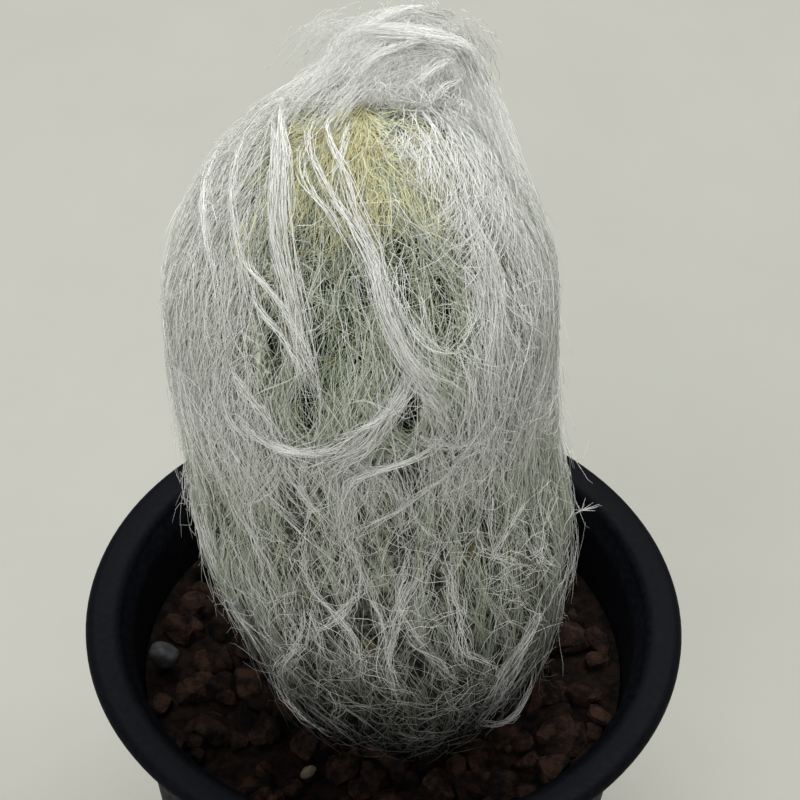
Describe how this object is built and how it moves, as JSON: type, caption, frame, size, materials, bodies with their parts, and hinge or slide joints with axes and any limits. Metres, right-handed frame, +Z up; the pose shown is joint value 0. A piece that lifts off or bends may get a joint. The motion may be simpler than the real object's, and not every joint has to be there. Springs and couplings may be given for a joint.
{
  "type": "potted woolly column cactus",
  "caption": "Short column cactus wrapped in long white wool, parted over its green crown, in a round black nursery pot of lava grit.",
  "frame": {"origin": "middle of the pot's foot, on the surface that the pot stands on", "axes": "+Z up, along the pot's axis; -Y is the front, where the wool parts over the crown"},
  "size_m": [0.1, 0.1, 0.2068],
  "materials": {
    "black_plastic": "satin",
    "lava_grit": "matte",
    "grey_pebble": "matte",
    "tan_grain": "matte",
    "cactus_green": "satin",
    "white_wool": "matte"
  },
  "bodies": {
    "root": {"pot": "black_plastic", "soil": "lava_grit", "grey_pebble": "grey_pebble", "tan_grain": "tan_grain", "stem": "cactus_green", "wool": "white_wool"}
  },
  "joints": []
}
